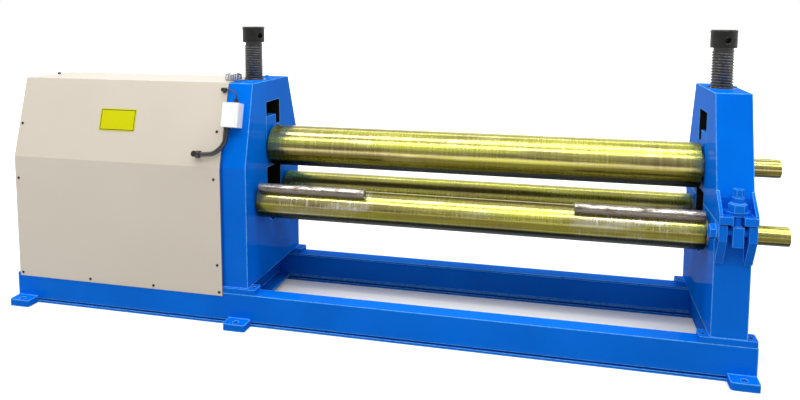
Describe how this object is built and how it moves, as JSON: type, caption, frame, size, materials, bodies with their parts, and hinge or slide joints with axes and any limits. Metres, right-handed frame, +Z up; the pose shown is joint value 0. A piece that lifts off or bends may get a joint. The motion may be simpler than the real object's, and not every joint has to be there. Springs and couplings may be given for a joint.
{
  "type": "plate bending machine",
  "caption": "Three-roll plate bending machine with a welded bed, box stands, a screw-adjusted top roll and a drive cabinet.",
  "frame": {"origin": "on the floor, at the centre of the four corner anchor holes of the bed", "axes": "+X along the rolls from the drive cabinet to the open shaft ends, +Y from the operator's side to the rear, +Z up"},
  "size_m": [3.584, 0.797, 1.394],
  "materials": {
    "blue_paint": "gloss",
    "beige_sheet": "satin",
    "roll_steel": "oiled, ground",
    "bright_steel": "machined",
    "black_steel": "blackened, oiled",
    "screw_steel": "machined, oiled",
    "bronze": "machined",
    "cast_iron": "machined",
    "machine_grey": "satin",
    "belt_rubber": "matt",
    "yellow_plate": "satin",
    "cap_alloy": "bright",
    "white_plastic": "gloss",
    "black_plastic": "matt"
  },
  "bodies": {
    "machine": {"front_rail": "blue_paint", "rear_rail": "blue_paint", "cross_members": "blue_paint", "foot_plates": "blue_paint", "drive_base_plate": "blue_paint", "left_stand": "blue_paint", "left_base_bars": "blue_paint", "left_screw_nut": "bronze", "right_lower_stand": "blue_paint", "right_upper_housing": "blue_paint", "right_base_bars": "blue_paint", "right_screw_nut": "bronze", "base_bolts": "black_steel", "head_bolts": "black_steel", "bottom_bushes_left": "bronze", "bottom_bushes_right": "bronze", "gearbox_case": "machine_grey", "gearbox_feet": "machine_grey", "v_belts": "belt_rubber", "motor_body": "machine_grey", "motor_fan_cover": "machine_grey", "motor_terminal_box": "machine_grey", "clamp_bracket": "blue_paint", "clamp_clevis": "blue_paint", "clevis_pin": "blue_paint", "eye_bolt": "blue_paint", "clamp_washer": "blue_paint", "clamp_nut": "blue_paint", "hinge_pin": "black_steel", "front_cover": "beige_sheet", "rear_cover": "beige_sheet", "end_cover": "beige_sheet", "cabinet_frame": "blue_paint", "cover_screws": "black_steel", "data_plate": "yellow_plate", "oil_cap": "cap_alloy", "switch_box": "white_plastic", "switch_box_lid": "white_plastic", "cable_glands": "black_plastic", "flexible_conduit": "belt_rubber", "sensor_cable": "belt_rubber", "loose_bars": "bright_steel"},
    "roll_carriage": {"left_bearing_block": "blue_paint", "right_bearing_block": "blue_paint", "top_bushes": "bronze"},
    "top_roll": {"top_roll": "roll_steel"},
    "left_screw": {"left_pressure_screw": "screw_steel", "left_screw_cap": "black_steel"},
    "right_screw": {"right_pressure_screw": "screw_steel", "right_screw_cap": "black_steel"},
    "front_roll": {"front_bottom_roll": "roll_steel", "front_roll_gear": "cast_iron"},
    "rear_roll": {"rear_bottom_roll": "roll_steel", "rear_roll_gear": "cast_iron"},
    "pinion_shaft": {"drive_pinion": "cast_iron", "output_shaft": "bright_steel"},
    "input_shaft": {"input_shaft": "bright_steel", "gearbox_pulley": "cast_iron"},
    "motor_rotor": {"motor_shaft": "bright_steel", "motor_pulley": "cast_iron"}
  },
  "joints": [
    {"name": "top_roll_lift", "type": "slide", "parent": "machine", "child": "roll_carriage", "axis": [0, 0, 1], "range_m": [-0.165, 0.07]},
    {"name": "top_roll_spin", "type": "hinge", "parent": "roll_carriage", "child": "top_roll", "pos_m": [0.5, 0, 0.804], "axis": [1, 0, 0], "continuous": true},
    {"name": "left_screw_turn", "type": "hinge", "parent": "roll_carriage", "child": "left_screw", "pos_m": [-0.563, 0, 1.2], "axis": [0, 0, 1], "range_deg": [-4951, 2101]},
    {"name": "right_screw_turn", "type": "hinge", "parent": "roll_carriage", "child": "right_screw", "pos_m": [1.615, 0, 1.2], "axis": [0, 0, 1], "range_deg": [-4951, 2101]},
    {"name": "front_roll_spin", "type": "hinge", "parent": "machine", "child": "front_roll", "pos_m": [0.5, -0.16, 0.557], "axis": [1, 0, 0], "continuous": true},
    {"name": "rear_roll_spin", "type": "hinge", "parent": "machine", "child": "rear_roll", "pos_m": [0.5, 0.16, 0.557], "axis": [1, 0, 0], "continuous": true},
    {"name": "pinion_spin", "type": "hinge", "parent": "machine", "child": "pinion_shaft", "pos_m": [-0.75, 0, 0.406], "axis": [1, 0, 0], "continuous": true},
    {"name": "input_spin", "type": "hinge", "parent": "machine", "child": "input_shaft", "pos_m": [-1.2, 0.06, 0.49], "axis": [1, 0, 0], "continuous": true},
    {"name": "motor_spin", "type": "hinge", "parent": "machine", "child": "motor_rotor", "pos_m": [-1.3, -0.15, 0.295], "axis": [1, 0, 0], "continuous": true}
  ],
  "couplings": [
    {"joint": "left_screw_turn", "follows": "top_roll_lift", "rad_per_m": 523.6},
    {"joint": "right_screw_turn", "follows": "top_roll_lift", "rad_per_m": 523.6},
    {"joint": "rear_roll_spin", "follows": "front_roll_spin", "ratio": 1},
    {"joint": "pinion_spin", "follows": "front_roll_spin", "ratio": -1.75},
    {"joint": "input_spin", "follows": "front_roll_spin", "ratio": -21.875},
    {"joint": "motor_spin", "follows": "front_roll_spin", "ratio": -47.727}
  ]
}
